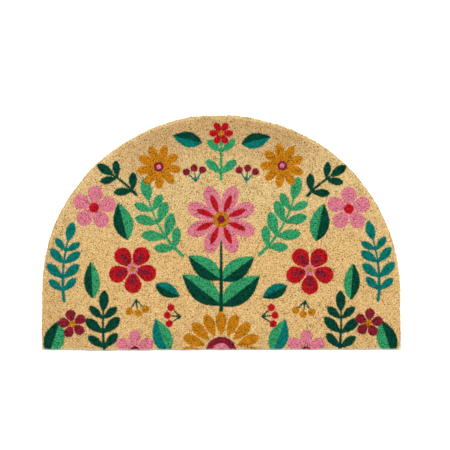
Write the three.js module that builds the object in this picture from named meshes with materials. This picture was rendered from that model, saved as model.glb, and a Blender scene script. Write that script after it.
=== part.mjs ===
// Half round coir doormat, in millimetres, +Z up, lying flat with its arch towards +Y.
//
// The mat is one piece: coconut fibre pile stands in a thin dense base, and both are cut together
// to a half ellipse over two short straight sides. The whole mat is one flat slab here. Its rim
// follows the section of a cut pile edge: a crisp upright base, pile that flares out a little
// above it, and a rounded shoulder. The underside is plain and flat.

import * as THREE from 'three';

// Driving dimensions
const WIDTH = 600;            // across the straight edge
const DEPTH = 392.5;          // from the straight edge to the top of the arch
const SIDE_LENGTH = 99;       // straight part of each short side, below the arch
const THICKNESS = 15;         // base and pile together
const BASE_THICKNESS = 2;     // dense base that holds the fibres
const BASE_STEP_IN = 1.6;     // how far the base stands inside the widest pile
const CORNER_RADIUS = 3;      // the two cut corners, hardly rounded

const HALF_WIDTH = WIDTH / 2;
const HALF_DEPTH = DEPTH / 2;
const ARCH_RISE = DEPTH - SIDE_LENGTH;
const ARCH_BASE_Y = SIDE_LENGTH - HALF_DEPTH;

// Steps round the outline
const ARCH_STEPS = 104;
const SIDE_STEPS = 8;
const EDGE_STEPS = 48;
const CORNER_STEPS = 3;

// How far the cut wanders out of the true half ellipse, by degrees from the right end of the arch
const ARCH_WANDER = [
  { at: 0, out: -0.3 },
  { at: 12, out: -0.8 },
  { at: 24, out: -0.7 },
  { at: 36, out: -0.7 },
  { at: 48, out: 0.0 },
  { at: 60, out: -0.4 },
  { at: 75, out: -1.2 },
  { at: 84, out: -0.3 },
  { at: 91, out: -0.7 },
  { at: 102, out: 0.9 },
  { at: 112, out: 0.1 },
  { at: 124, out: -0.6 },
  { at: 135, out: 0.4 },
  { at: 144, out: -0.8 },
  { at: 158, out: 0.5 },
  { at: 170, out: -0.6 },
  { at: 180, out: -0.8 },
];

// How far the long cut wanders out of a straight line, by the share of its length from the left
const EDGE_WANDER = [
  { at: 0.0, out: -0.2 },
  { at: 0.16, out: 1.0 },
  { at: 0.35, out: 0.3 },
  { at: 0.52, out: -0.1 },
  { at: 0.7, out: 0.3 },
  { at: 0.82, out: -0.2 },
  { at: 1.0, out: -0.8 },
];

// How far each short side leans out towards its corner, by the share of its length from the arch
const SIDE_WANDER = [
  { at: 0.0, out: -0.5 },
  { at: 0.5, out: 0.1 },
  { at: 1.0, out: 0.4 },
];

// Section of the rim, from the floor up: height, and distance inside the widest pile
const RIM_SECTION = [
  { z: 0, inset: BASE_STEP_IN },
  { z: BASE_THICKNESS, inset: BASE_STEP_IN },
  { z: 3.2, inset: 1.0 },
  { z: 6.5, inset: 0.3 },
  { z: 10.2, inset: 0.0 },
  { z: 12.6, inset: 0.7 },
  { z: 14.0, inset: 2.2 },
  { z: 14.7, inset: 4.2 },
  { z: THICKNESS, inset: 7.5 },
];

// Rings across the pile inside the rim: share of the way to the middle
const TOP_RINGS = [0.07, 0.17, 0.31, 0.48, 0.66, 0.84];

// The pile's height differs by up to this much from place to place
const PILE_UNEVENNESS = 0.45;

// A value from a table, eased smoothly from row to row
function fromTable(table, at) {
  const last = table.length - 1;
  const next = table.findIndex((row) => row.at >= at);
  if (next === 0) return table[0].out;
  if (next < 0) return table[last].out;
  const before = table[next - 1];
  const after = table[next];
  const t = THREE.MathUtils.smoothstep(at, before.at, after.at);
  return THREE.MathUtils.lerp(before.out, after.out, t);
}

// Tufts make the cut a little ragged: a small ripple along the outline, by distance in mm
function tuftRipple(distance) {
  const coarse = Math.sin(distance / 11.3 + 0.7);
  const fine = Math.sin(distance / 4.9 + 2.1);
  return 0.22 * coarse + 0.16 * fine;
}

// The straight long edge, from the left corner to the right one
function edgePoints() {
  const points = [];
  const run = WIDTH - 2 * CORNER_RADIUS;
  for (let i = 0; i <= EDGE_STEPS; i += 1) {
    const share = i / EDGE_STEPS;
    const x = -HALF_WIDTH + CORNER_RADIUS + share * run;
    const out = fromTable(EDGE_WANDER, share) + tuftRipple(x);
    points.push(new THREE.Vector2(x, -HALF_DEPTH - out));
  }
  return points;
}

// The small rounding of a corner, from the long edge to a short side
function cornerPoints(from, to) {
  const points = [];
  const bend = new THREE.QuadraticBezierCurve(from, new THREE.Vector2(to.x, from.y), to);
  for (let i = 1; i < CORNER_STEPS; i += 1) {
    points.push(bend.getPoint(i / CORNER_STEPS));
  }
  return points;
}

// A short side, from just above its corner up to the arch; side is 1 on the right, -1 on the left
function sidePoints(side) {
  const points = [];
  const run = SIDE_LENGTH - CORNER_RADIUS;
  for (let i = 0; i < SIDE_STEPS; i += 1) {
    const share = i / SIDE_STEPS;
    const y = -HALF_DEPTH + CORNER_RADIUS + share * run;
    const out = fromTable(SIDE_WANDER, 1 - share) + tuftRipple(y + side * WIDTH);
    points.push(new THREE.Vector2(side * (HALF_WIDTH + out), y));
  }
  return points;
}

// The half ellipse, from the right side over the top to the left side
function archPoints() {
  const points = [];
  for (let i = 0; i <= ARCH_STEPS; i += 1) {
    const angle = (Math.PI * i) / ARCH_STEPS;
    const degrees = THREE.MathUtils.radToDeg(angle);
    const out = fromTable(ARCH_WANDER, degrees) + tuftRipple(HALF_WIDTH * angle);
    const x = (HALF_WIDTH + out) * Math.cos(angle);
    const y = ARCH_BASE_Y + (ARCH_RISE + out) * Math.sin(angle);
    points.push(new THREE.Vector2(x, y));
  }
  return points;
}

// The whole outline at the widest pile, anticlockwise seen from above
function matOutline() {
  const edge = edgePoints();
  const right = sidePoints(1);
  const left = sidePoints(-1).reverse();
  const rightCorner = cornerPoints(edge[edge.length - 1], right[0]);
  const leftCorner = cornerPoints(edge[0], left[left.length - 1]).reverse();
  return [...edge, ...rightCorner, ...right, ...archPoints(), ...left, ...leftCorner];
}

// The outline drawn in by a distance, each way in proportion, so that its corners stay corners
function drawnIn(outline, inset) {
  const acrossScale = 1 - inset / HALF_WIDTH;
  const alongScale = 1 - inset / HALF_DEPTH;
  return outline.map((point) => new THREE.Vector2(point.x * acrossScale, point.y * alongScale));
}

// Broad, shallow unevenness of the pile's top
function pileDip(x, y) {
  const wide = Math.sin(x / 47 + 1.1) * Math.sin(y / 39 + 0.4);
  const narrow = Math.sin(x / 23 - y / 31 + 2.3);
  return PILE_UNEVENNESS * (0.5 + 0.35 * wide + 0.15 * narrow);
}

// Every ring of the slab from the edge of the underside to the innermost ring of the top
function matRings(outline) {
  const rings = RIM_SECTION.map(({ z, inset }) => (
    drawnIn(outline, inset).map((point) => new THREE.Vector3(point.x, point.y, z))
  ));
  for (const share of TOP_RINGS) {
    const ring = outline.map((point) => {
      const x = point.x * (1 - share);
      const y = point.y * (1 - share);
      return new THREE.Vector3(x, y, THICKNESS - pileDip(x, y));
    });
    rings.push(ring);
  }
  return rings;
}

// A closed slab: bands between rings, closed by a fan at the underside and one at the top
function matGeometry() {
  const rings = matRings(matOutline());
  const count = rings[0].length;
  const under = new THREE.Vector3(0, 0, 0);
  const crown = new THREE.Vector3(0, 0, THICKNESS - pileDip(0, 0));
  const points = [...rings.flat(), under, crown];
  const underIndex = rings.length * count;
  const crownIndex = underIndex + 1;
  const topRing = (rings.length - 1) * count;
  const faces = [];
  for (let i = 0; i < count; i += 1) {
    const next = (i + 1) % count;
    faces.push(underIndex, next, i);
    faces.push(crownIndex, topRing + i, topRing + next);
    for (let ring = 0; ring < rings.length - 1; ring += 1) {
      const low = ring * count;
      const high = low + count;
      faces.push(low + i, low + next, high + next);
      faces.push(low + i, high + next, high + i);
    }
  }
  const geometry = new THREE.BufferGeometry().setFromPoints(points);
  geometry.setIndex(faces);
  geometry.computeVertexNormals();
  return geometry;
}

// The slab's box is centred on the origin, with the underside at height zero
function centred(geometry) {
  geometry.computeBoundingBox();
  const middle = geometry.boundingBox.getCenter(new THREE.Vector3());
  return geometry.translate(-middle.x, -middle.y, 0);
}

const coir = new THREE.MeshStandardMaterial({
  name: 'coir pile',
  color: new THREE.Color(0xd4af77),
  roughness: 0.95,
  metalness: 0,
});

const mat = new THREE.Mesh(centred(matGeometry()), coir);
mat.name = 'coir_mat';

const doormat = new THREE.Group();
doormat.name = 'half_round_coir_doormat';
doormat.add(mat);

export default doormat;
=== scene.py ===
"""Half round coir doormat: printed coconut pile on a thin base, lying flat, seen from above."""

import math

import bpy
import numpy as np
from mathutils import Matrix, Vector
from mathutils.geometry import delaunay_2d_cdt
from mathutils.kdtree import KDTree


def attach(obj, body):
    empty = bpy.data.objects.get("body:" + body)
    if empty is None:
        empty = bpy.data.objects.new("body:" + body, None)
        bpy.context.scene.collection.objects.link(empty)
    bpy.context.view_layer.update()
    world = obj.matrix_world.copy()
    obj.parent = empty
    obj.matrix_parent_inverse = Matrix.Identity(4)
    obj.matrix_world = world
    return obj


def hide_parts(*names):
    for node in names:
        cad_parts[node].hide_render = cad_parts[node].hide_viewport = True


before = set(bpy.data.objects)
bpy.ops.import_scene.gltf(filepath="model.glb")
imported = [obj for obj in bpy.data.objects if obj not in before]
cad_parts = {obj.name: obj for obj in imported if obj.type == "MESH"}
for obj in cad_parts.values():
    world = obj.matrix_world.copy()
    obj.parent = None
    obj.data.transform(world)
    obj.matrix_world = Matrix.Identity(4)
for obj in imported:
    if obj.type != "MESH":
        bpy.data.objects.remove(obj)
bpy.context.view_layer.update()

MM = 0.001

# Driving sizes, in millimetres, the same as the solid's
WIDTH = 600.0
DEPTH = 392.5
SIDE_LENGTH = 99.0
THICKNESS = 15.0
BASE_THICKNESS = 2.0
BASE_STEP_IN = 1.6
CORNER_RADIUS = 3.0

HALF_WIDTH = WIDTH / 2
HALF_DEPTH = DEPTH / 2
ARCH_RISE = DEPTH - SIDE_LENGTH
ARCH_BASE_Y = SIDE_LENGTH - HALF_DEPTH

# Wander of the cut out of its true line: where, and how far out. The arch goes by degrees from
# its right end, the straight edge by the share of its length from the left, and each side by
# the share from the arch.
ARCH_WANDER = [
    (0, -0.3), (12, -0.8), (24, -0.7), (36, -0.7), (48, 0.0), (60, -0.4), (75, -1.2), (84, -0.3),
    (91, -0.7), (102, 0.9), (112, 0.1), (124, -0.6), (135, 0.4), (144, -0.8), (158, 0.5),
    (170, -0.6), (180, -0.8),
]
EDGE_WANDER = [
    (0.0, -0.2), (0.16, 1.0), (0.35, 0.4), (0.52, 0.0), (0.7, -0.15), (0.82, -0.2), (1.0, -0.6),
]
SIDE_WANDER = [(0.0, -0.5), (0.5, 0.1), (1.0, 0.4)]
OUTLINE_STEP = 2.4

# Height of the pile's top by distance inside its widest line, and how far the top is uneven
SHOULDER_INSET = (-0.5, 0.0, 0.7, 2.2, 4.2, 7.5)
SHOULDER_HEIGHT = (8.5, 10.6, 12.8, 14.1, 14.7, THICKNESS)
PILE_UNEVENNESS = 0.45


def eased(table, at):
    """A value from a table of (at, value), eased smoothly from row to row."""
    ats, values = (np.array(column, float) for column in zip(*table))
    at = np.clip(at, ats[0], ats[-1])
    row = np.clip(np.searchsorted(ats, at, side="left"), 1, len(ats) - 1)
    t = (at - ats[row - 1]) / (ats[row] - ats[row - 1])
    t = t * t * (3 - 2 * t)
    return values[row - 1] + (values[row] - values[row - 1]) * t


def tuft_ripple(distance):
    """Fine unevenness of the cut, from tuft to tuft."""
    return 0.22 * np.sin(distance / 11.3 + 0.7) + 0.16 * np.sin(distance / 4.9 + 2.1)


def mat_outline(step):
    """Points round the widest pile, anticlockwise from above, about step mm apart."""
    share = np.linspace(0, 1, int((WIDTH - 2 * CORNER_RADIUS) / step))
    x = -HALF_WIDTH + CORNER_RADIUS + share * (WIDTH - 2 * CORNER_RADIUS)
    edge = np.stack([x, -HALF_DEPTH - eased(EDGE_WANDER, share) - tuft_ripple(x)], 1)

    def side(sign):
        share = np.linspace(0, 1, int(SIDE_LENGTH / step), endpoint=False)
        y = -HALF_DEPTH + CORNER_RADIUS + share * (SIDE_LENGTH - CORNER_RADIUS)
        out = eased(SIDE_WANDER, 1 - share) + tuft_ripple(y + sign * WIDTH)
        return np.stack([sign * (HALF_WIDTH + out), y], 1)

    angle = np.linspace(0, math.pi, int(math.pi * HALF_WIDTH / step))
    out = eased(ARCH_WANDER, np.degrees(angle)) + tuft_ripple(HALF_WIDTH * angle)
    arch = np.stack(
        [(HALF_WIDTH + out) * np.cos(angle), ARCH_BASE_Y + (ARCH_RISE + out) * np.sin(angle)], 1
    )

    def corner(start, end):
        t = np.array([[0.25], [0.5], [0.75]])
        bend = np.array([end[0], start[1]])
        return (1 - t) ** 2 * start + 2 * t * (1 - t) * bend + t**2 * end

    right, left = side(1), side(-1)[::-1]
    return np.concatenate(
        [edge, corner(edge[-1], right[0]), right, arch, left, corner(edge[0], left[-1])[::-1]]
    )


def flat_tree(points):
    """A search tree of points in the plane."""
    tree = KDTree(len(points))
    for i, (x, y) in enumerate(points.tolist()):
        tree.insert((x, y, 0), i)
    tree.balance()
    return tree


OUTLINE = mat_outline(OUTLINE_STEP)
# The solid's box is centred on the origin, so the outline is too
OUTLINE = OUTLINE - (OUTLINE.min(0) + OUTLINE.max(0)) / 2
OUTLINE_TREE = flat_tree(OUTLINE)


def rim_facts(points):
    """For each point, its distance inside the outline and the outward direction there."""
    near = np.array([OUTLINE_TREE.find((x, y, 0))[1] for x, y in points.tolist()])
    best = np.full(len(points), np.inf)
    inside = np.empty(len(points))
    outward = np.empty((len(points), 2))
    # The nearest stretch is one of the two that meet at the nearest point
    for shift in (0, 1):
        start = OUTLINE[near - shift]
        along = OUTLINE[(near - shift + 1) % len(OUTLINE)] - start
        length = np.linalg.norm(along, axis=1)
        along = along / length[:, None]
        apart = points - start
        t = np.clip((apart * along).sum(1), 0, length)
        off = apart - t[:, None] * along
        far = np.hypot(off[:, 0], off[:, 1])
        way = np.stack([along[:, 1], -along[:, 0]], 1)
        closer = far < best
        best[closer] = far[closer]
        signed = np.where((apart * way).sum(1) > 0, -far, far)
        inside[closer] = signed[closer]
        outward[closer] = way[closer]
    return inside, outward


def pile_dip(x, y):
    """Broad, shallow unevenness of the pile's top."""
    wide = np.sin(x / 47 + 1.1) * np.sin(y / 39 + 0.4)
    narrow = np.sin(x / 23 - y / 31 + 2.3)
    return PILE_UNEVENNESS * (0.5 + 0.35 * wide + 0.15 * narrow)


def top_height(points, inside):
    return np.interp(inside, SHOULDER_INSET, SHOULDER_HEIGHT) - pile_dip(points[:, 0], points[:, 1])


def ripples(points, wavelength, seed, count=14):
    """Smooth even noise, about from -1 to 1, as a sum of waves in all directions."""
    rng = np.random.default_rng(seed)
    total = np.zeros(len(points))
    for _ in range(count):
        angle = rng.uniform(0, 2 * math.pi)
        size = 2 * math.pi / (wavelength * rng.uniform(0.7, 1.4))
        phase = rng.uniform(0, 2 * math.pi)
        total += np.sin((points[:, 0] * math.cos(angle) + points[:, 1] * math.sin(angle)) * size + phase)
    return total / math.sqrt(count / 2) / 1.6


# Inks: colour as seen, in sRGB from 0 to 255; how strongly it follows the tone of the fibre
# under it; how much bare straw shows through
INK_TABLE = [
    ("dark_green", (0, 62, 46), 2.1, 0.002),
    ("bright_green", (45, 144, 95), 1.35, 0.014),
    ("teal", (0, 111, 101), 1.25, 0.004),
    ("red", (170, 3, 26), 1.55, 0.016),
    ("pink", (200, 118, 134), 1.1, 0.010),
    ("maroon", (124, 21, 43), 2.2, 0.012),
    ("mustard", (180, 117, 13), 1.25, 0.010),
]
INK_NAMES = [name for name, _, _, _ in INK_TABLE]
COIR = (201.5, 172.5, 120.5)


def linear(colour):
    """A colour in sRGB from 0 to 255, as linear light."""
    c = np.array(colour, float) / 255
    return np.where(c <= 0.04045, c / 12.92, ((c + 0.055) / 1.055) ** 2.4)


# The print: flat inks laid on the pile, each mark over the ones before it.
# Headings are in degrees, anticlockwise from the mat's right.
marks = []


def facing(heading):
    """Cosine and sine of a heading in degrees."""
    return math.cos(math.radians(heading)), math.sin(math.radians(heading))


def petal(x, y, heading, length, width, ink, ripe=0.5, tip=0.5, half=0):
    """A petal or leaf from its foot: ripe is where it is widest, tip how pointed it is.

    With a half of 1 or -1 only its left or its right half is laid.
    """
    marks.append(("petal", ink, (x, y, heading, length, width, ripe, tip, half)))


def disc(x, y, radius, ink):
    marks.append(("disc", ink, (x, y, radius)))


STEM_STEPS = 24
STEM_THINNING = 0.45


def stem_line(x, y, heading, length, bend):
    """Points along a stem that turns evenly by bend degrees, with the heading at each."""
    turn = np.radians(heading + bend * np.arange(STEM_STEPS + 1) / STEM_STEPS)
    step = length / STEM_STEPS
    xs = x + step * np.concatenate([[0], np.cumsum(np.cos(turn[:-1]))])
    ys = y + step * np.concatenate([[0], np.cumsum(np.sin(turn[:-1]))])
    return xs, ys, np.degrees(turn)


def stem(x, y, heading, length, bend, wide, ink):
    """A stem that thins towards its end."""
    marks.append(("stem", ink, (x, y, heading, length, bend, wide)))


def inside_petal(x, y, mark):
    foot_x, foot_y, heading, length, width, ripe, tip, half = mark
    c, s = facing(heading)
    along = ((x - foot_x) * c + (y - foot_y) * s) / length
    across = (y - foot_y) * c - (x - foot_x) * s
    swell = np.sin(math.pi * np.clip(along, 0, 1) ** (math.log(0.5) / math.log(ripe)))
    hit = (along > 0) & (along < 1) & (np.abs(across) < 0.5 * width * np.clip(swell, 0, 1) ** tip)
    return hit & (across * half > 0) if half else hit


def inside_disc(x, y, mark):
    return (x - mark[0]) ** 2 + (y - mark[1]) ** 2 < mark[2] ** 2


def inside_stem(x, y, mark):
    xs, ys, _ = stem_line(*mark[:5])
    near = np.full(x.shape, np.inf)
    for i in range(STEM_STEPS):
        run_x, run_y = xs[i + 1] - xs[i], ys[i + 1] - ys[i]
        t = ((x - xs[i]) * run_x + (y - ys[i]) * run_y) / (run_x**2 + run_y**2)
        t = np.clip(t, 0, 1)
        wide = 0.5 * mark[5] * (1 - STEM_THINNING * (i + t) / STEM_STEPS)
        near = np.minimum(near, np.hypot(x - xs[i] - t * run_x, y - ys[i] - t * run_y) - wide)
    return near < 0


# For each kind of mark its test, and which of its sizes says how far it reaches
KINDS = {"petal": (inside_petal, 3), "disc": (inside_disc, 2), "stem": (inside_stem, 3)}
MARK_MARGIN = 5


def flower(x, y, turn, radius, count, outer, inner, eye):
    """Petals round an eye; inner is the ink of the streak on each petal, or None."""
    core = 0.2 * radius
    foot = 0.6 * core
    petal_width = 0.9 * 2 * math.pi * 0.62 * radius / count
    streak_width = 0.36 * 2 * math.pi * 0.6 * radius / count
    streak_length = 0.55 * radius
    for i in range(count):
        heading = turn + 360 * i / count
        c, s = facing(heading)
        petal(x + foot * c, y + foot * s, heading, radius - foot, petal_width, outer, ripe=0.62)
        if inner:
            streak = (x + core * c, y + core * s, heading, streak_length, streak_width, inner)
            petal(*streak, ripe=0.55, tip=0.7)
    disc(x, y, 1.12 * core, eye[0])
    if len(eye) > 1:
        disc(x, y, 0.55 * core, eye[1])


def half_sun(x, y, radius, rays):
    """Half a sunflower, standing on the straight edge."""
    foot = 0.42 * radius
    ray_width = 0.27 * radius
    for i in range(rays):
        heading = 180 * i / (rays - 1)
        c, s = facing(heading)
        ray = (x + foot * c, y + foot * s, heading, radius - foot, ray_width, "mustard")
        petal(*ray, ripe=0.6, tip=0.55)
    disc(x, y, 0.38 * radius, "maroon")
    disc(x, y, 0.22 * radius, "pink")


SPRIG_STEM_WIDTH = 5.6
SPRIG_LEAF_SPREAD = 48


def sprig(x, y, heading, length, bend, pairs, leaf_length, ink):
    """A stem with pairs of small leaves and one at its end."""
    run = 0.86 * length
    stem(x, y, heading, run, bend, SPRIG_STEM_WIDTH, ink)
    xs, ys, turns = stem_line(x, y, heading, run, bend)
    for i in range(pairs):
        at = int(round(STEM_STEPS * (0.16 + 0.68 * i / max(pairs - 1, 1))))
        size = leaf_length * (1 - 0.3 * abs(2 * (i + 0.5) / pairs - 0.9))
        for spread in (SPRIG_LEAF_SPREAD, -SPRIG_LEAF_SPREAD):
            petal(xs[at], ys[at], turns[at] + spread, size, 0.44 * size, ink, ripe=0.6, tip=0.62)
    end = (xs[-1], ys[-1], turns[-1], 0.9 * leaf_length, 0.42 * leaf_length, ink)
    petal(*end, ripe=0.55, tip=0.62)


def split_leaf(x, y, heading, length, width, left, right):
    """A leaf in two inks, one each side of its middle."""
    for ink, half in ((left, 1), (right, -1)):
        petal(x, y, heading, length, width, ink, ripe=0.46, tip=0.85, half=half)


BERRY_SPREAD = 38
BERRY_STALK_WIDTH = 3.4


def berries(x, y, heading, size, ink, stalk):
    """Three berries on stalks that part at one foot."""
    for spread in (-BERRY_SPREAD, 0, BERRY_SPREAD):
        c, s = facing(heading + spread)
        stem(x, y, heading + spread, 1.9 * size, 0, BERRY_STALK_WIDTH, stalk)
        disc(x + 2.2 * size * c, y + 2.2 * size * s, 0.62 * size, ink)


# x, y, heading, length, width, left ink, right ink
SPLIT_LEAVES = [
    (0, -122, 38, 82, 40, "bright_green", "dark_green"),
    (0, -120, 142, 82, 40, "dark_green", "bright_green"),
    (0, -80, 36, 68, 34, "bright_green", "dark_green"),
    (0, -78, 144, 68, 34, "dark_green", "bright_green"),
    (158, -14, 78, 64, 33, "bright_green", "dark_green"),
    (-156, -12, 104, 64, 33, "dark_green", "bright_green"),
    (110, -88, 206, 46, 24, "dark_green", "teal"),
    (-110, -86, -26, 46, 24, "teal", "dark_green"),
    (216, -112, 86, 62, 27, "bright_green", "dark_green"),
    (-214, -110, 93, 62, 27, "dark_green", "bright_green"),
    (34, 148, 14, 50, 26, "dark_green", "teal"),
    (-32, 150, 166, 50, 26, "teal", "dark_green"),
    (86, -202, 70, 62, 32, "bright_green", "teal"),
    (-88, -202, 110, 62, 32, "teal", "bright_green"),
    (286, -206, 108, 64, 34, "bright_green", "dark_green"),
    (-288, -206, 72, 64, 34, "dark_green", "bright_green"),
]
# x, y, heading, length, bend, pairs of leaves, leaf length, ink
SPRIGS = [
    (64, -36, 42, 126, 34, 4, 44, "bright_green"),
    (-64, -38, 138, 126, -34, 4, 44, "bright_green"),
    (262, -112, 84, 116, 22, 4, 38, "teal"),
    (-262, -114, 97, 116, -22, 4, 38, "teal"),
    (196, -204, 82, 84, 10, 3, 40, "dark_green"),
    (-194, -204, 97, 84, -10, 3, 40, "dark_green"),
    (0, 90, 90, 62, 0, 2, 38, "bright_green"),
    (144, 62, 46, 58, -12, 2, 36, "dark_green"),
    (-142, 64, 134, 58, 12, 2, 36, "dark_green"),
]
# x, y, turn, radius, petals, petal ink, streak ink, inks of the eye
FLOWERS = [
    (0, 22, 22.5, 60, 8, "pink", "red", ("mustard", "maroon")),
    (148, -62, 54, 41, 5, "red", "maroon", ("pink", "mustard")),
    (-148, -60, 128, 41, 5, "red", "maroon", ("pink", "mustard")),
    (102, 112, 20, 37, 9, "mustard", None, ("maroon", "pink")),
    (-104, 110, -8, 37, 9, "mustard", None, ("maroon", "pink")),
    (213, 40, 90, 37, 5, "pink", None, ("red",)),
    (-212, 42, 84, 37, 5, "pink", None, ("red",)),
    (142, -197, 90, 35, 6, "pink", None, ("maroon",)),
    (-144, -197, 90, 35, 6, "pink", None, ("maroon",)),
    (246, -150, 10, 24, 5, "maroon", None, ("mustard",)),
    (-248, -152, 30, 24, 5, "maroon", None, ("mustard",)),
    (0, 166, 0, 20, 6, "red", None, ("mustard",)),
]
# x, y, heading, size, ink, stalk ink
BERRIES = [
    (68, -140, 6, 10, "red", "dark_green"),
    (-68, -140, 174, 10, "red", "dark_green"),
    (140, -114, 262, 10, "mustard", "dark_green"),
    (-142, -112, 278, 10, "mustard", "dark_green"),
    (42, 86, 84, 10, "maroon", "teal"),
    (-42, 86, 98, 10, "maroon", "teal"),
]
for row in SPLIT_LEAVES:
    split_leaf(*row)
for row in SPRIGS:
    sprig(*row)
# The stem of the big flower, and the half flower on the straight edge
stem(0, -134, 90, 118, 0, 7, "dark_green")
half_sun(0, -199, 68, 9)
for row in FLOWERS:
    flower(*row)
for row in BERRIES:
    berries(*row)


def ink_at(points):
    """The number of the ink at each point, or -1 where the coir is bare."""
    found = np.full(len(points), -1)
    x, y = points[:, 0], points[:, 1]
    for kind, ink, mark in marks:
        test, reach = KINDS[kind]
        around = mark[reach] + MARK_MARGIN
        near = np.nonzero((np.abs(x - mark[0]) < around) & (np.abs(y - mark[1]) < around))[0]
        found[near[test(x[near], y[near], mark)]] = INK_NAMES.index(ink)
    return found


# How far, in mm, the ink strays from where a fibre's end stands
INK_SMEAR = 0.2
# How far the three channels follow a change of tone: dark straw is browner
STRAW_TONE = np.array([0.71, 1.0, 1.82])
# Some fibres are redder and some greener
HUE_SPREAD = 0.085
HUE_SHIFT = np.array([0.5, -0.5, 0.0])
BRIGHTEST = 0.95

# Broad changes of the bare straw, as powers of e: how far each goes, and between which two
# places it fades in. The crown, a zone inside the top of the arch, is darker and browner with
# painted shade, and so a little are the left side and the front; the rim and a broad patch
# right of the middle, towards the back, are lighter with painted light. The near half of the
# mat is warmer than the far one. Headings are in degrees.
CROWN_PAINTED_SHADE = np.array([-0.18, -0.265, -0.305])
CROWN_DEPTH = (100, 14)
CROWN_MARGIN = (2, 7.5)
CROWN_HEADING = 91
CROWN_SPREAD = (48, 22)
LEFT_PAINTED_SHADE = -0.085
LEFT_FADE = (-235, -290)
FRONT_PAINTED_SHADE = -0.08
FRONT_FADE = (-150, -190)
RIM_PAINTED_LIGHT = 0.095
RIM_FADE = (9, 3)
RIM_FRONT_FADE = (2 - HALF_DEPTH, 12 - HALF_DEPTH)
PAINTED_LIGHT_POOL = 0.05
LIGHT_POOL_PLACE = (130, 60)
LIGHT_POOL_SIZE = (150, 90)
PATCHY_CHANGE = 0.02
PATCH_SIZE = 45
CHANGE_BY_CHANNEL = np.array([0.85, 1.0, 1.0])
NEAR_CHANGE = np.array([0.055, 0.035, -0.02])
FAR_CHANGE = np.array([0.01, 0.045, 0.065])
NEAR_FADE = (65, -55)


def smooth(start, end, value):
    """0 up to start and 1 from end on, eased between them."""
    t = np.clip((value - start) / (end - start), 0, 1)
    return t * t * (3 - 2 * t)


def bare_colour(points, inside):
    """Broad tones of the bare straw: painted shade at the crown, a little at the left and front,
    and painted light along the rim and in a patch right of the middle.
    """
    x, y = points[:, 0], points[:, 1]
    # Painted shade at the crown, a zone inside the top of the arch
    off_crown = np.abs(np.degrees(np.arctan2(y - ARCH_BASE_Y, x)) - CROWN_HEADING)
    crown = smooth(*CROWN_DEPTH, inside) * smooth(*CROWN_SPREAD, off_crown)
    crown = crown * smooth(*CROWN_MARGIN, inside)
    # Painted light along the rim, and in a broad patch right of the middle
    rim = smooth(*RIM_FADE, inside) * smooth(*RIM_FRONT_FADE, y)
    across, up = (x - LIGHT_POOL_PLACE[0]) / LIGHT_POOL_SIZE[0], (y - LIGHT_POOL_PLACE[1]) / LIGHT_POOL_SIZE[1]
    # Painted shade towards the left side and towards the front
    change = LEFT_PAINTED_SHADE * smooth(*LEFT_FADE, x) + FRONT_PAINTED_SHADE * smooth(*FRONT_FADE, y)
    change = change + RIM_PAINTED_LIGHT * rim + PAINTED_LIGHT_POOL * np.exp(-(across**2) - up**2)
    change = change + PATCHY_CHANGE * ripples(points, PATCH_SIZE, seed=5)
    change = change[:, None] * CHANGE_BY_CHANNEL + crown[:, None] * CROWN_PAINTED_SHADE
    near = smooth(*NEAR_FADE, y)[:, None]
    change = change + near * NEAR_CHANGE + (1 - near) * FAR_CHANGE
    return linear(COIR) * np.exp(change)


def pile_colour(points, inside, rng, tone):
    """Linear colours of the pile where it is seen from above, and the number of the ink there.

    The points may be in groups, one for each fibre, which then has one tone and one smear of ink.
    """
    shape = points.shape[:-1]
    fibres = (len(points),) + (1,) * (len(shape) - 1)

    def for_points(values):
        """Values of the fibres, the same at all points of a fibre."""
        return np.broadcast_to(np.reshape(values, fibres), shape).ravel()

    smeared = (points + rng.normal(0, INK_SMEAR, (*fibres, 2))).reshape(-1, 2)
    inside, tone = for_points(inside), for_points(tone)
    ink = ink_at(smeared)
    bare = bare_colour(points.reshape(-1, 2), inside) * np.exp(tone[:, None] * STRAW_TONE)
    row = np.clip(ink, 0, None)
    inks = np.array([linear(colour) for _, colour, _, _ in INK_TABLE])[row]
    follow = np.array([follow for _, _, follow, _ in INK_TABLE])[row]
    bared = np.array([bared for _, _, _, bared in INK_TABLE])[row]
    bared = bared * for_points(rng.exponential(1, fibres))
    printed = inks * np.exp(follow * tone)[:, None] + bared[:, None] * bare
    colour = np.where((ink >= 0)[:, None], printed, bare)
    hue = for_points(rng.normal(0, HUE_SPREAD, fibres))
    colour = colour * np.exp(hue[:, None] * HUE_SHIFT)
    return np.clip(colour, 0, BRIGHTEST).reshape(*shape, 3), ink.reshape(shape)


def build(name, vertices, faces, colours, uv=None, normals=None):
    """A smooth mesh object from arrays in millimetres, with a linear colour at each vertex."""
    mesh = bpy.data.meshes.new(name)
    count = faces.shape[1]
    mesh.vertices.add(len(vertices))
    mesh.vertices.foreach_set("co", (vertices * MM).astype(np.float32).ravel())
    mesh.loops.add(faces.size)
    mesh.loops.foreach_set("vertex_index", faces.astype(np.int32).ravel())
    mesh.polygons.add(len(faces))
    mesh.polygons.foreach_set("loop_start", (np.arange(len(faces)) * count).astype(np.int32))
    mesh.update(calc_edges=True)
    mesh.shade_smooth()
    if colours is not None:
        tint = mesh.color_attributes.new("tint", "FLOAT_COLOR", "POINT")
        rgba = np.concatenate([colours, np.ones((len(colours), 1))], 1)
        tint.data.foreach_set("color", rgba.astype(np.float32).ravel())
    if uv is not None:
        layer = mesh.uv_layers.new(name="OFBake")
        layer.uv.foreach_set("vector", uv[faces.ravel()].astype(np.float32).ravel())
    if normals is not None:
        mesh.normals_split_custom_set_from_vertices(normals)
    piece = bpy.data.objects.new(name, mesh)
    bpy.context.scene.collection.objects.link(piece)
    return piece


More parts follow.
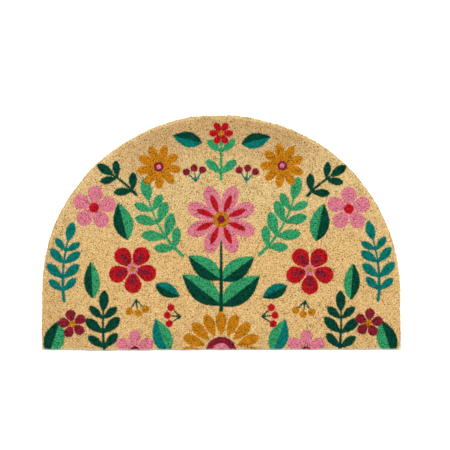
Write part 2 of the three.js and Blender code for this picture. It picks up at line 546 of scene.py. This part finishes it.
def band(low, high, count):
    """Triangles between two rings of count vertices, which start at low and at high."""
    i = np.arange(count)
    j = (i + 1) % count
    return [np.stack([low + i, low + j, high + j], 1), np.stack([low + i, high + j, high + i], 1)]


def fan(middle, start, count, faces_up):
    """Triangles from a middle vertex to the ring of count vertices from start on."""
    i = start + np.arange(count)
    j = start + (np.arange(count) + 1) % count
    return np.stack([np.full(count, middle), *((i, j) if faces_up else (j, i))], 1)


def rings_mesh(rings):
    """Vertices and triangles of a closed body from stacked rings, with a fan at each end."""
    count = len(rings[0])
    flat = np.concatenate(rings)
    ends = np.stack([rings[0].mean(0), rings[-1].mean(0)])
    ends[:, :2] = 0
    faces = []
    for k in range(len(rings) - 1):
        faces += band(k * count, (k + 1) * count, count)
    faces.append(fan(len(flat), 0, count, False))
    faces.append(fan(len(flat) + 1, (len(rings) - 1) * count, count, True))
    return np.concatenate([flat, ends]), np.concatenate(faces)


def drawn_in(outline, inset):
    """The outline made smaller, by inset at each side of its box."""
    return outline * (1 - inset / np.array([HALF_WIDTH, HALF_DEPTH]))


def with_height(points, z):
    """Points in the plane with a height added."""
    return np.concatenate([points, np.broadcast_to(np.reshape(z, (-1, 1)), (len(points), 1))], 1)


def jittered_grid(step, row_gap, jitter, rng):
    """Points over the whole mat in staggered rows, each moved at random by a share of step."""
    nx, ny = int(WIDTH / step) + 4, int(DEPTH / (step * row_gap)) + 4
    ix, iy = np.meshgrid(np.arange(nx), np.arange(ny))
    x = (ix + 0.5 * (iy % 2) - nx / 2) * step
    y = (iy - ny / 2) * step * row_gap
    points = np.stack([x.ravel(), y.ravel()], 1)
    return points + rng.uniform(-jitter, jitter, points.shape) * step


# The dense base: a thin closed slab with a crisp cut edge, which shows along the straight edge
FRONT_LIP = 1.5
FRONT_SPREAD = 1.002
FRONT_LIP_FADE = (14 - HALF_DEPTH, 3 - HALF_DEPTH)
# Inset and height of its rings, from the bottom
BASE_RINGS = ((0.35, 0.0), (0.0, 0.3), (0.0, BASE_THICKNESS - 0.3), (0.3, BASE_THICKNESS))


def make_base():
    front = smooth(*FRONT_LIP_FADE, OUTLINE[:, 1])[:, None]
    rings = []
    for bevel, z in BASE_RINGS:
        lip = drawn_in(OUTLINE, bevel) * (FRONT_SPREAD, 1) - (0, FRONT_LIP)
        rest = drawn_in(OUTLINE, BASE_STEP_IN + bevel)
        rings.append(with_height((1 - front) * rest + front * lip, z))
    vertices, faces = rings_mesh(rings)
    return build("mat_base", vertices, faces, None)


# Small pits in the pile, where tufts sink and painted shade darkens them, spread evenly: how
# near two of them come, their reach, and their depth as the least, the usual amount more, and
# the most
PIT_GAP = 2.95
PIT_REACH = (0.5, 0.86)
PIT_DEPTH = (0.2, 0.5, 1.45)
PIT_TRIES = 90000
# How much painted shade darkens the middle of a pit of depth 1, as a power of e, and within
# how many reaches of its middle a pit is felt
PIT_SHADE_TONE = 4.35
PIT_FELT = 2


def scatter_pits():
    """Middles, reaches and depths of the pits. A place too near an earlier one is passed over."""
    rng = np.random.default_rng(71)
    taken, middle = {}, []
    for x, y in (rng.uniform(-1, 1, (PIT_TRIES, 2)) * (HALF_WIDTH, HALF_DEPTH)).tolist():
        i, j = int(x // PIT_GAP), int(y // PIT_GAP)
        near = [q for a in (i - 1, i, i + 1) for b in (j - 1, j, j + 1) for q in taken.get((a, b), ())]
        if all((x - u) ** 2 + (y - v) ** 2 > PIT_GAP**2 for u, v in near):
            taken.setdefault((i, j), []).append((x, y))
            middle.append((x, y))
    least, usual, most = PIT_DEPTH
    depth = np.minimum(least + rng.exponential(usual, len(middle)), most)
    return np.array(middle), rng.uniform(*PIT_REACH, len(middle)), depth


PITS = scatter_pits()


def pit_depth(points):
    """How deep each place lies in a pit of the pile, mostly 0 and about 1 in the middle of one."""
    tree = flat_tree(points)
    depth = np.zeros(len(points))
    for (x, y), far, low in zip(*(column.tolist() for column in PITS)):
        for _, i, gap in tree.find_range((x, y, 0), PIT_FELT * far):
            depth[i] = max(depth[i], low * math.exp(-((gap / far) ** 2)))
    return depth


# The body of the pile, below the fibre tips: a closed body with a fine uneven top
CORE_STEP = 1.75
CORE_ROW_GAP = 0.87
CORE_JITTER = 0.3
CORE_TOP_INSET = BASE_STEP_IN + 1.0
CORE_GRID_INSET = BASE_STEP_IN + 2.2
CORE_DROP = 2.1
CORE_ROUGHNESS = 0.4
CORE_PIT_DEPTH = 0.8
# Inset and height of the rings round its side, from the bottom
CORE_SIDES = (
    (BASE_STEP_IN + 1.4, BASE_THICKNESS + 0.02),
    (BASE_STEP_IN + 0.7, 5.0),
    (BASE_STEP_IN + 0.4, 8.0),
)
# Mean and spread of the tone, its mean lowered by painted shade, the painted shade a pit takes
# from it, and the painted shade of the top and of the side
CORE_TONE = (-0.1, 0.2)
CORE_PIT_SHADE_TONE = 0.6 * PIT_SHADE_TONE
CORE_SHADE = 0.8
CORE_SIDE_SHADE = 0.28
CORE_MAP_MARGIN = 3
WELD_DISTANCE = 1e-5


def make_core():
    rng = np.random.default_rng(11)
    ring = drawn_in(OUTLINE, CORE_TOP_INSET)
    count = len(ring)
    grid = jittered_grid(CORE_STEP, CORE_ROW_GAP, CORE_JITTER, rng)
    grid = grid[rim_facts(grid)[0] > CORE_GRID_INSET]
    corners = [Vector(point) for point in np.concatenate([ring, grid]).tolist()]
    edges = [(i, (i + 1) % count) for i in range(count)]
    joined = delaunay_2d_cdt(corners, edges, [], 1, WELD_DISTANCE)
    flat, top_faces = np.array([tuple(point) for point in joined[0]]), np.array(joined[2])
    inside, _ = rim_facts(flat)
    pit = pit_depth(flat)
    rough = CORE_ROUGHNESS * rng.standard_normal(len(flat))
    top = with_height(flat, top_height(flat, inside) - CORE_DROP + rough - CORE_PIT_DEPTH * pit)
    sides = [with_height(drawn_in(OUTLINE, inset), height) for inset, height in CORE_SIDES]
    middle = len(sides) * count
    starts = [*range(0, middle, count), middle + 1]
    faces = [fan(middle, 0, count, False)]
    for low, high in zip(starts, starts[1:]):
        faces += band(low, high, count)
    faces.append(top_faces + middle + 1)
    vertices = np.concatenate([*sides, [[0, 0, CORE_SIDES[0][1]]], top])
    # Painted shade: a lowered tone, and more of it in pits
    tone = rng.normal(*CORE_TONE, len(flat)) - CORE_PIT_SHADE_TONE * pit
    colours, _ = pile_colour(flat, inside, rng, tone)
    # Painted shade: the top darker than the tufts, the side under the rim fibres darker still
    tints = np.broadcast_to(linear(COIR) * CORE_SIDE_SHADE, vertices.shape).copy()
    tints[middle + 1:] = colours * CORE_SHADE
    uv = 0.5 + vertices[:, :2] / (2 * (HALF_WIDTH + CORE_MAP_MARGIN))
    return build("pile_core", vertices, np.concatenate(faces), tints, uv)


# The top of the pile: tufts of cut fibre. A blunt one is wide at its cut end and narrow at its
# root, and a pointed one the other way round.
TUFT_STEP = 1.09
TUFT_ROW_GAP = 0.93
TUFT_JITTER = 0.46
TUFT_INSET = 1.1
TUFT_DEPTH = (2.4, 3.4)
# How far tips stand above the pile's top, and sink below that at random, in a pit and at most
TUFT_RISE = 0.2
TUFT_SINK = 0.3
TUFT_PIT_SINK = 1.1
TUFT_MOST_SINK = 2.4
# Lean of a tuft by itself, in common with its neighbours, and outwards near the rim
LEAN = 0.7
COMMON_LEAN = 0.3
COMMON_LEAN_SIZE = 7
COMMON_LEAN_SEEDS = (41, 42)
RIM_LEAN = 0.7
RIM_LEAN_WIDTH = 8
# Shares of the lean above and below a tuft's place
TIP_SHARE = 0.45
ROOT_SHARE = 0.55
BLUNT_SHARE = 0.5
BLUNT_RADIUS = (0.42, 0.66)
POINTED_RADIUS = (0.6, 0.85)
RADIUS_SPREAD = (0.75, 1.25)
CUT_SLOPE = 0.35
CUT_SLOPE_SPREAD = 0.25
# The way the shading faces at the wide end, sideways and up, and at the narrow end
WIDE_NORMAL_OUT = 0.75
BLUNT_NORMAL_UP = 0.8
POINTED_NORMAL_UP = 0.55
NARROW_NORMAL_LEAN = -0.35
# Most fibres are alike and light, and a few are dark brown. Sunken ones get a little painted
# shade, and the root of every tuft more painted shade, deep in the pile
TUFT_TONE = 0.26
TUFT_TONE_SPREAD = 0.08
TUFT_TONE_DROP = 0.175
TUFT_SINK_SHADE_TONE = 0.1
TUFT_SINK_FREE = 0.4
ROOT_SHADE = 0.5
TUFT_PIECES = 4
# Three corners at the wide end and the narrow end last; what shows from above is drawn last
BLUNT_FACES = np.array([[0, 3, 1], [1, 3, 2], [2, 3, 0], [0, 1, 2]])
POINTED_FACES = np.array([[0, 1, 2], [0, 3, 1], [1, 3, 2], [2, 3, 0]])
# Margins of a band's map, in mm and as shares of it
BAND_MAP_MARGIN = 6
BAND_MAP_OVERLAP = 2
BAND_MAP_START, BAND_MAP_HEIGHT, BAND_MAP_SHIFT = 0.004, 0.49, 0.502


def tuft_places(rng):
    points = jittered_grid(TUFT_STEP, TUFT_ROW_GAP, TUFT_JITTER, rng)
    inside, outward = rim_facts(points)
    keep = inside > TUFT_INSET
    return points[keep], inside[keep], outward[keep]


def tuft_lean(points, inside, outward, rng):
    """Every bunch leans its own way, more than its neighbours' common lean."""
    common = np.stack([ripples(points, COMMON_LEAN_SIZE, seed) for seed in COMMON_LEAN_SEEDS], 1)
    lean = rng.normal(0, LEAN, points.shape) + COMMON_LEAN * common
    near_rim = np.clip(1 - inside / RIM_LEAN_WIDTH, 0, 1)
    return lean + outward * (RIM_LEAN * near_rim)[:, None]


def tuft_shapes(tip, root, blunt, lean, rng):
    """Four vertices of each tuft, and the way the shading faces at each."""
    count = len(tip)
    wide = np.where(blunt, rng.uniform(*BLUNT_RADIUS, count), rng.uniform(*POINTED_RADIUS, count))
    spin = rng.uniform(0, 2 * math.pi, count)
    slope = CUT_SLOPE * lean + rng.normal(0, CUT_SLOPE_SPREAD, (count, 2))
    vertices = np.empty((count, 4, 3))
    normals = np.empty((count, 4, 3))
    broad, narrow = np.where(blunt[:, None], tip, root), np.where(blunt[:, None], root, tip)
    sense = np.where(blunt, 1, -1)
    for k in range(3):
        turn = spin + sense * 2 * math.pi * k / 3
        reach = wide * rng.uniform(*RADIUS_SPREAD, count)
        way = np.stack([np.cos(turn), np.sin(turn)], 1)
        vertices[:, k, :2] = broad[:, :2] + way * reach[:, None]
        vertices[:, k, 2] = broad[:, 2] - (way * slope).sum(1) * reach
        normals[:, k, :2] = WIDE_NORMAL_OUT * way
        normals[:, k, 2] = np.where(blunt, BLUNT_NORMAL_UP, POINTED_NORMAL_UP)
    vertices[:, 3] = narrow
    normals[:, 3, :2] = NARROW_NORMAL_LEAN * lean * sense[:, None]
    normals[:, 3, 2] = 1
    return vertices, normals / np.linalg.norm(normals, axis=2, keepdims=True)


def band_map(vertices, right):
    """Map places of a band's vertices: its left half lies below its right half."""
    x, y = vertices[:, 0], vertices[:, 1]
    width = HALF_WIDTH + BAND_MAP_MARGIN
    across = np.where(right, x + BAND_MAP_OVERLAP, x + width) / (width + BAND_MAP_OVERLAP)
    up = (y - y.min()) / (y.max() - y.min())
    up = BAND_MAP_START + BAND_MAP_HEIGHT * up + BAND_MAP_SHIFT * right
    return np.stack([np.clip(across, 0, 1), up], 1)


def make_tufts():
    rng = np.random.default_rng(21)
    points, inside, outward = tuft_places(rng)
    count = len(points)
    top = top_height(points, inside)
    pit = pit_depth(points)
    sunk = np.minimum(rng.exponential(TUFT_SINK, count) + TUFT_PIT_SINK * pit, TUFT_MOST_SINK)
    blunt = rng.uniform(0, 1, count) < BLUNT_SHARE
    lean = tuft_lean(points, inside, outward, rng)
    tip = with_height(points + TIP_SHARE * lean, top + TUFT_RISE - sunk)
    root = with_height(points - ROOT_SHARE * lean, top - rng.uniform(*TUFT_DEPTH, count))
    vertices, normals = tuft_shapes(tip, root, blunt, lean, rng)
    tone = TUFT_TONE + rng.normal(0, TUFT_TONE_SPREAD, count)
    tone -= rng.exponential(TUFT_TONE_DROP, count)
    # Painted shade in pits and on sunken tufts
    tone -= PIT_SHADE_TONE * pit + TUFT_SINK_SHADE_TONE * np.maximum(sunk - TUFT_SINK_FREE, 0)
    tints, _ = pile_colour(vertices[:, :, :2], inside, rng, tone)
    # Painted shade at the root of each tuft
    tints[blunt, 3] *= ROOT_SHADE
    tints[~blunt, :3] *= ROOT_SHADE
    pattern = np.where(blunt[:, None, None], BLUNT_FACES, POINTED_FACES)
    # Pieces are bands from front to back, with as many tufts in each
    band_of = np.empty(count, int)
    band_of[np.argsort(points[:, 1], kind="stable")] = np.arange(count) * TUFT_PIECES // count
    made = []
    for k in range(TUFT_PIECES):
        pick = band_of == k
        v = vertices[pick].reshape(-1, 3)
        f = (4 * np.arange(pick.sum())[:, None, None] + pattern[pick]).reshape(-1, 3)
        uv = band_map(v, np.repeat(points[pick, 0] > 0, 4))
        colours, shading = tints[pick].reshape(-1, 3), normals[pick].reshape(-1, 3)
        made.append(build(f"pile_tufts_{k + 1}", v, f, colours, uv, shading))
    return made


# The pile's cut side: long fibres in rows, which stand on the base and lean out
RIM_ROWS = 4
RIM_STEP = 0.46
RIM_ROW_GAP = 0.55
RIM_ROW_SPREAD = 0.5
RIM_ROOT_INSET = BASE_STEP_IN + 0.25
RIM_ROOT_HEIGHT = BASE_THICKNESS - 0.15
# Inset of the first row's tips, its spread, and the share of a row's distance that tips keep
RIM_TIP_INSET = 0.4
RIM_TIP_SPREAD = 0.35
RIM_TIP_GAP = 0.9
# Height of the tips by the distance behind the first row, how far below that they end, and
# between which heights they stay
RIM_TIP_BEHIND = (0, 0.5, 1.2, 2.7)
RIM_TIP_HEIGHT = (11.3, 13.0, 13.9, 14.5)
RIM_TIP_DROP = 0.6
RIM_TIP_RANGE = (5, 14.8)
RIM_SWAY = 1.1
RIM_THICK = (0.26, 0.42)
# Thickness at the root and at the tip
RIM_TAPER = (1.05, 0.78)
# A fibre has three sides, so each of its ends is one triangle
SIDES = 3
# A few fibres stand out from the others
STRAY_SHARE = 0.03
STRAY_REACH = (0.3, 1.3)
# How far tips stand back from the straight edge and at the left side, fray out along the arch,
# and follow the slant of its left and of its right half
FRONT_TRIM = 1.05
LEFT_TRIM = 0.3
ARCH_FRAY = 0.4
ARCH_SLANT = (0.6, 0.35)
# Neighbouring fibres stand in or out together, a few millimetres of the edge at a time
CLUMP = 2.6
CLUMP_REACH = 0.36
# Which way the rim faces where a rule for one side holds
FACES_FRONT = -0.9
FACES_LEFT = -0.98
FACES_MOSTLY_LEFT = -0.75
FACES_ARCH = 0.02
# Tone: mean and spread, ripples along the rim and how long they are, flecks of painted shade at
# the left, painted shade on the outer rows at the front, and painted shade in pits
RIM_TONE = (0.14, 0.24)
RIM_RIPPLE_TONE = 0.12
RIM_RIPPLES = (7.0, 3.1)
LEFT_SHADE_FLECKS = 0.25
LEFT_SHADE_FLECK_TONE = (0.4, 1.2)
FRONT_ROWS_SHADE = 0.12
OUTER_ROWS = 2
RIM_PIT_SHADE_TONE = 0.5 * PIT_SHADE_TONE
# The straw that shows through a printed tip has the tone found this far inside the outline
RIM_COLOUR_INSET = 3.0
# Painted shade at the roots of the rim fibres, low under the pile
RIM_ROOT_SHADE = 0.5
# The share of pale fibre at the tips of each row, and more of it at the left
PALE_FIBRE = (214, 203, 178)
PALE_SHARE = np.array([0.55, 0.25, 0.0, 0.0])
LEFT_PALER = 0.35
PALE_TONE = 0.6
# The baked map holds the rim as stacked strips, each with a margin
RIM_STRIPS = 12
STRIP_MARGIN = 0.01
STRIP_START, STRIP_HEIGHT = 0.04, 0.92
STRIP_LOW, STRIP_RISE = 1.5, 14


def outline_at(run):
    """Place and outward direction at a distance round the outline."""
    along = np.roll(OUTLINE, -1, 0) - OUTLINE
    length = np.linalg.norm(along, axis=1)
    ends = np.cumsum(length)
    run = run % ends[-1]
    k = np.searchsorted(ends, run, side="right").clip(0, len(ends) - 1)
    t = (run - (ends[k] - length[k])) / length[k]
    way = along / length[:, None]
    outward = np.stack([way[:, 1], -way[:, 0]], 1)
    return OUTLINE[k] + t[:, None] * along[k], outward[k]


def rim_tip_insets(depth, run, outward, total, rng):
    """How far inside the outline the tip of each fibre ends."""
    count = len(run)
    inset = RIM_TIP_INSET + depth * RIM_TIP_GAP + rng.normal(0, RIM_TIP_SPREAD, count)
    inset -= (rng.uniform(0, 1, count) < STRAY_SHARE) * rng.uniform(*STRAY_REACH, count)
    inset += FRONT_TRIM * (outward[:, 1] < FACES_FRONT) - ARCH_FRAY * np.clip(outward[:, 1], 0, 1)
    inset += LEFT_TRIM * (outward[:, 0] < FACES_LEFT)
    slant = outward[:, 0] * np.where(outward[:, 0] < 0, *ARCH_SLANT)
    inset += slant * (outward[:, 1] > FACES_ARCH)
    knots = np.arange(0, total + CLUMP, CLUMP)
    clumps = rng.normal(0, CLUMP_REACH, len(knots))
    return inset + np.interp(run % total, knots, clumps) * (outward[:, 1] > FACES_FRONT)


def rim_vertices(root, tip, rng):
    """A ring of vertices round the root of each fibre and another round its tip."""
    thick = rng.uniform(*RIM_THICK, len(root))
    spin = rng.uniform(0, 2 * math.pi, len(root))
    corners = []
    for centre, taper in zip((root, tip), RIM_TAPER):
        for side in range(SIDES):
            angle = spin + 2 * math.pi * side / SIDES
            corner = centre.copy()
            corner[:, 0] += thick * taper * np.cos(angle)
            corner[:, 1] += thick * taper * np.sin(angle)
            corners.append(corner)
    return np.stack(corners, 1)


def rim_faces(count):
    """Triangles of the fibres: their sides and both ends."""
    pattern = []
    for a in range(SIDES):
        b = (a + 1) % SIDES
        pattern += [[a, b, b + SIDES], [a, b + SIDES, a + SIDES]]
    pattern += [[0, 2, 1], [SIDES, SIDES + 1, SIDES + 2]]
    return (2 * SIDES * np.arange(count)[:, None, None] + np.array(pattern)).reshape(-1, 3)


def rim_tints(tops, run, row, outward, rng):
    """Colours of the fibres: straw with painted shade at their roots, and tips printed or pale."""
    count = len(run)
    long_ripple, short_ripple = (np.sin(run / size) for size in RIM_RIPPLES)
    tone = rng.normal(*RIM_TONE, count) + RIM_RIPPLE_TONE * long_ripple * short_ripple
    # Painted shade: flecks at the left, the outer rows at the front, and pits
    flecked = (outward[:, 0] < FACES_MOSTLY_LEFT) & (rng.uniform(0, 1, count) < LEFT_SHADE_FLECKS)
    tone -= flecked * rng.uniform(*LEFT_SHADE_FLECK_TONE, count)
    tone -= FRONT_ROWS_SHADE * (outward[:, 1] < FACES_FRONT) * (row < OUTER_ROWS)
    tone -= RIM_PIT_SHADE_TONE * pit_depth(tops) * (row > 0)
    printed, ink = pile_colour(tops, np.full(count, RIM_COLOUR_INSET), rng, tone)
    left = (outward[:, 0] < FACES_LEFT) & (row < OUTER_ROWS)
    pale = (PALE_SHARE[row] + LEFT_PALER * left)[:, None]
    straw = np.clip(linear(COIR) * np.exp(tone[:, None] * STRAW_TONE), 0, BRIGHTEST)
    tip = (1 - pale) * straw + pale * linear(PALE_FIBRE) * np.exp(PALE_TONE * tone[:, None])
    tip = np.where((ink >= 0)[:, None], printed, np.clip(tip, 0, BRIGHTEST))
    tints = np.empty((count, 2 * SIDES, 3))
    # Painted shade at the roots
    tints[:, :SIDES] = (RIM_ROOT_SHADE * straw)[:, None]
    tints[:, SIDES:] = tip[:, None]
    return tints


def rim_map(vertices, place, along, run, total):
    """Map places of the rim's vertices."""
    strip = total / RIM_STRIPS
    number = np.minimum((run % total) // strip, RIM_STRIPS - 1)
    sideways = ((vertices[:, :, :2] - place[:, None]) * along[:, None]).sum(2)
    u = ((run % total) - number * strip)[:, None] + sideways
    v = number[:, None] + STRIP_START + STRIP_HEIGHT * (vertices[:, :, 2] - STRIP_LOW) / STRIP_RISE
    u = np.clip(STRIP_MARGIN + (1 - 2 * STRIP_MARGIN) * u / strip, 0, 1)
    return np.stack([u, v / RIM_STRIPS], 2)


def make_rim():
    rng = np.random.default_rng(51)
    total = float(np.linalg.norm(np.roll(OUTLINE, -1, 0) - OUTLINE, axis=1).sum())
    per_row = int(total / RIM_STEP)
    count = per_row * RIM_ROWS
    run = (np.arange(count) % per_row + rng.uniform(-0.5, 0.5, count)) * RIM_STEP
    row = np.repeat(np.arange(RIM_ROWS), per_row)
    place, outward = outline_at(run)
    along = np.stack([-outward[:, 1], outward[:, 0]], 1)
    depth = row * RIM_ROW_GAP + rng.uniform(0, RIM_ROW_SPREAD, count)
    tip_in = rim_tip_insets(depth, run, outward, total, rng)
    tip_z = np.interp(depth, RIM_TIP_BEHIND, RIM_TIP_HEIGHT) - rng.exponential(RIM_TIP_DROP, count)
    sway = rng.normal(0, RIM_SWAY, count)
    root = with_height(place - outward * (RIM_ROOT_INSET + depth)[:, None], RIM_ROOT_HEIGHT)
    tops = place - outward * tip_in[:, None] + along * sway[:, None]
    tip = with_height(tops, np.clip(tip_z, *RIM_TIP_RANGE))
    vertices = rim_vertices(root, tip, rng)
    tints = rim_tints(tops, run, row, outward, rng)
    uv = rim_map(vertices, place, along, run, total)
    flat = (vertices.reshape(-1, 3), rim_faces(count), tints.reshape(-1, 3), uv.reshape(-1, 2))
    return build("pile_rim", *flat)


# Materials


def new_material(name):
    material = bpy.data.materials.new(name)
    material.use_nodes = True
    tree = material.node_tree
    shader = tree.nodes["Principled BSDF"]
    return material, tree, shader


def fibre_material(name):
    """Dry straw fibre: the tint of each tuft, with streaks along the fibres finer than a tuft."""
    material, tree, shader = new_material(name)
    nodes, links = tree.nodes, tree.links
    tint = nodes.new("ShaderNodeAttribute")
    tint.attribute_name = "tint"
    place = nodes.new("ShaderNodeTexCoord")
    # Drawn out in height, the way the fibres stand
    drawn = nodes.new("ShaderNodeVectorMath")
    drawn.operation = "MULTIPLY"
    drawn.inputs[1].default_value = (1, 1, 0.16)
    links.new(place.outputs["Object"], drawn.inputs[0])
    streaks = nodes.new("ShaderNodeTexNoise")
    streaks.inputs["Scale"].default_value = 2100
    streaks.inputs["Detail"].default_value = 3
    streaks.inputs["Roughness"].default_value = 0.65
    links.new(drawn.outputs["Vector"], streaks.inputs["Vector"])
    flecks = nodes.new("ShaderNodeMapRange")
    flecks.inputs["From Min"].default_value = 0.32
    flecks.inputs["From Max"].default_value = 0.66
    flecks.inputs["To Min"].default_value = 0.71
    flecks.inputs["To Max"].default_value = 1.27
    links.new(streaks.outputs["Fac"], flecks.inputs["Value"])
    shade = nodes.new("ShaderNodeVectorMath")
    shade.operation = "SCALE"
    links.new(tint.outputs["Color"], shade.inputs[0])
    links.new(flecks.outputs["Result"], shade.inputs["Scale"])
    links.new(shade.outputs["Vector"], shader.inputs["Base Color"])
    bump = nodes.new("ShaderNodeBump")
    bump.inputs["Strength"].default_value = 0.35
    bump.inputs["Distance"].default_value = 0.0003
    links.new(streaks.outputs["Fac"], bump.inputs["Height"])
    links.new(bump.outputs["Normal"], shader.inputs["Normal"])
    shader.inputs["Roughness"].default_value = 0.92
    shader.inputs["Specular IOR Level"].default_value = 0.05
    return material


def base_material():
    """Matte moulded base, finely pebbled."""
    material, tree, shader = new_material("base")
    nodes, links = tree.nodes, tree.links
    place = nodes.new("ShaderNodeTexCoord")
    pebble = nodes.new("ShaderNodeTexNoise")
    pebble.inputs["Scale"].default_value = 420
    pebble.inputs["Detail"].default_value = 4
    links.new(place.outputs["Object"], pebble.inputs["Vector"])
    ramp = nodes.new("ShaderNodeValToRGB")
    ramp.color_ramp.elements[0].color = (*linear((136, 134, 123)), 1)
    ramp.color_ramp.elements[1].color = (*linear((172, 170, 157)), 1)
    ramp.color_ramp.elements[0].position = 0.35
    ramp.color_ramp.elements[1].position = 0.68
    links.new(pebble.outputs["Fac"], ramp.inputs["Fac"])
    links.new(ramp.outputs["Color"], shader.inputs["Base Color"])
    bump = nodes.new("ShaderNodeBump")
    bump.inputs["Strength"].default_value = 0.5
    bump.inputs["Distance"].default_value = 0.0004
    links.new(pebble.outputs["Fac"], bump.inputs["Height"])
    links.new(bump.outputs["Normal"], shader.inputs["Normal"])
    shader.inputs["Roughness"].default_value = 0.7
    return material


base = make_base()
base.data.materials.append(base_material())
pile = [make_core(), *make_tufts(), make_rim()]
coir = fibre_material("coir fibre")
for piece in pile:
    piece.data.materials.append(coir)

for piece in [base, *pile]:
    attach(piece, "root")
    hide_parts("coir_mat")


# Studio, in metres and watts
FLOOR_HALF_SIZE = 30.0
WORLD_STRENGTH = 1.28


def make_floor():
    mesh = bpy.data.meshes.new("floor")
    size = FLOOR_HALF_SIZE
    corners = [(-size, -size, 0), (size, -size, 0), (size, size, 0), (-size, size, 0)]
    mesh.from_pydata(corners, [], [(0, 1, 2, 3)])
    floor = bpy.data.objects.new("floor", mesh)
    bpy.context.scene.collection.objects.link(floor)
    material, _, shader = new_material("floor")
    shader.inputs["Base Color"].default_value = (0.9, 0.9, 0.9, 1)
    shader.inputs["Roughness"].default_value = 0.9
    mesh.materials.append(material)


def area_light(name, place, size, power):
    """A square light that points at the mat's middle."""
    data = bpy.data.lights.new(name, "AREA")
    data.shape = "SQUARE"
    data.size = size
    data.energy = power
    lamp = bpy.data.objects.new(name, data)
    bpy.context.scene.collection.objects.link(lamp)
    lamp.location = place
    lamp.rotation_euler = (-Vector(place)).to_track_quat("-Z", "Y").to_euler()


make_floor()
area_light("key", (-0.5, 1.9, 2.3), size=1.6, power=100)
area_light("fill", (0.6, -1.6, 2.6), size=2.2, power=48)

world = bpy.data.worlds.new("studio")
world.use_nodes = True
world.node_tree.nodes["Background"].inputs["Color"].default_value = (1, 1, 1, 1)
world.node_tree.nodes["Background"].inputs["Strength"].default_value = WORLD_STRENGTH
bpy.context.scene.world = world

# Camera: straight above, far off with a long lens, with the mat as large in the frame as in the
# photo and as far off its centre
FRAME_PX = 450
MAT_PX = 359.2
CAMERA_HEIGHT = 3.0
SENSOR = 36
# Height of the mat's widest line, in mm
WIDEST_HEIGHT = 10.2
MAT_OFF_CENTRE_PX = (-3.85, -7.8)
mm_per_px = WIDTH / MAT_PX
camera_data = bpy.data.cameras.new("camera")
camera_data.sensor_width = SENSOR
camera_data.lens = SENSOR * CAMERA_HEIGHT / (FRAME_PX * mm_per_px * MM)
camera_data.clip_end = 20
camera = bpy.data.objects.new("camera", camera_data)
bpy.context.scene.collection.objects.link(camera)
camera.location = (
    -MAT_OFF_CENTRE_PX[0] * mm_per_px * MM,
    -MAT_OFF_CENTRE_PX[1] * mm_per_px * MM,
    CAMERA_HEIGHT + WIDEST_HEIGHT * MM,
)
bpy.context.scene.camera = camera
bpy.context.scene.view_settings.view_transform = "Standard"

bpy.context.view_layer.update()
